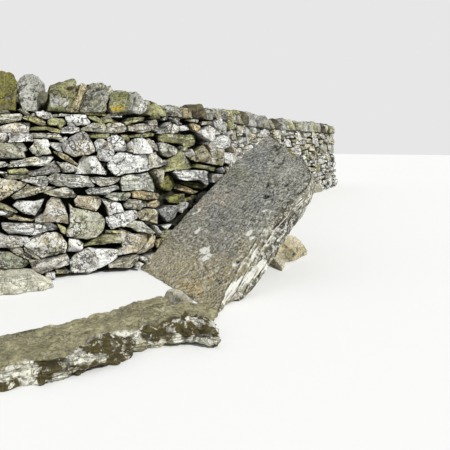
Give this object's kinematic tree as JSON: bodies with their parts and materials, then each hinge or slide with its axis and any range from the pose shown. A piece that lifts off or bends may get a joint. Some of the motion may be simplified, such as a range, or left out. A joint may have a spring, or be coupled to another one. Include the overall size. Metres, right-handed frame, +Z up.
{
  "type": "dry stone wall",
  "caption": "Long rough dry stone field wall with battered faces and upright cope stones, bent round a huge leaning slab, with a fallen slab at its foot.",
  "frame": {"origin": "on the ground under the middle of the third bay, midway between the two faces of the wall", "axes": "+X along the row from the plumb left end to the rounded right end, +Y to the back of the wall, +Z up; the front with the leaning slab faces -Y"},
  "size_m": [11.6908, 3.5518, 1.6425],
  "materials": {
    "wall_stone": "rough, lichen spotted",
    "hearting": "rough broken rubble",
    "footing_stone": "rough",
    "cope_stone": "rough, mossy",
    "slab_stone": "rough, weathered",
    "ground_stone": "rough, mossy"
  },
  "bodies": {
    "root": {"bay_1_back_face": "wall_stone", "bay_1_cope": "cope_stone", "bay_1_footing": "footing_stone", "bay_1_front_face": "wall_stone", "bay_1_hearting": "hearting", "bay_2_back_face": "wall_stone", "bay_2_cope": "cope_stone", "bay_2_footing": "footing_stone", "bay_2_front_face": "wall_stone", "bay_2_hearting": "hearting", "bay_3_back_face": "wall_stone", "bay_3_cope": "cope_stone", "bay_3_footing": "footing_stone", "bay_3_front_face": "wall_stone", "bay_3_hearting": "hearting", "bay_4_back_face": "wall_stone", "bay_4_cope": "cope_stone", "bay_4_footing": "footing_stone", "bay_4_front_face": "wall_stone", "bay_4_hearting": "hearting", "bay_5_back_face": "wall_stone", "bay_5_cope": "cope_stone", "bay_5_footing": "footing_stone", "bay_5_front_face": "wall_stone", "bay_5_hearting": "hearting", "bay_6_back_face": "wall_stone", "bay_6_cope": "cope_stone", "bay_6_footing": "footing_stone", "bay_6_front_face": "wall_stone", "bay_6_hearting": "hearting", "fallen_slab": "ground_stone", "front_footing_stone": "ground_stone", "leaning_slab": "slab_stone", "left_end": "wall_stone", "prop_stone_large": "ground_stone", "prop_stone_small": "ground_stone", "round_end": "wall_stone", "round_end_cope": "cope_stone", "round_end_footing": "footing_stone", "toe_stone": "ground_stone"}
  },
  "joints": []
}
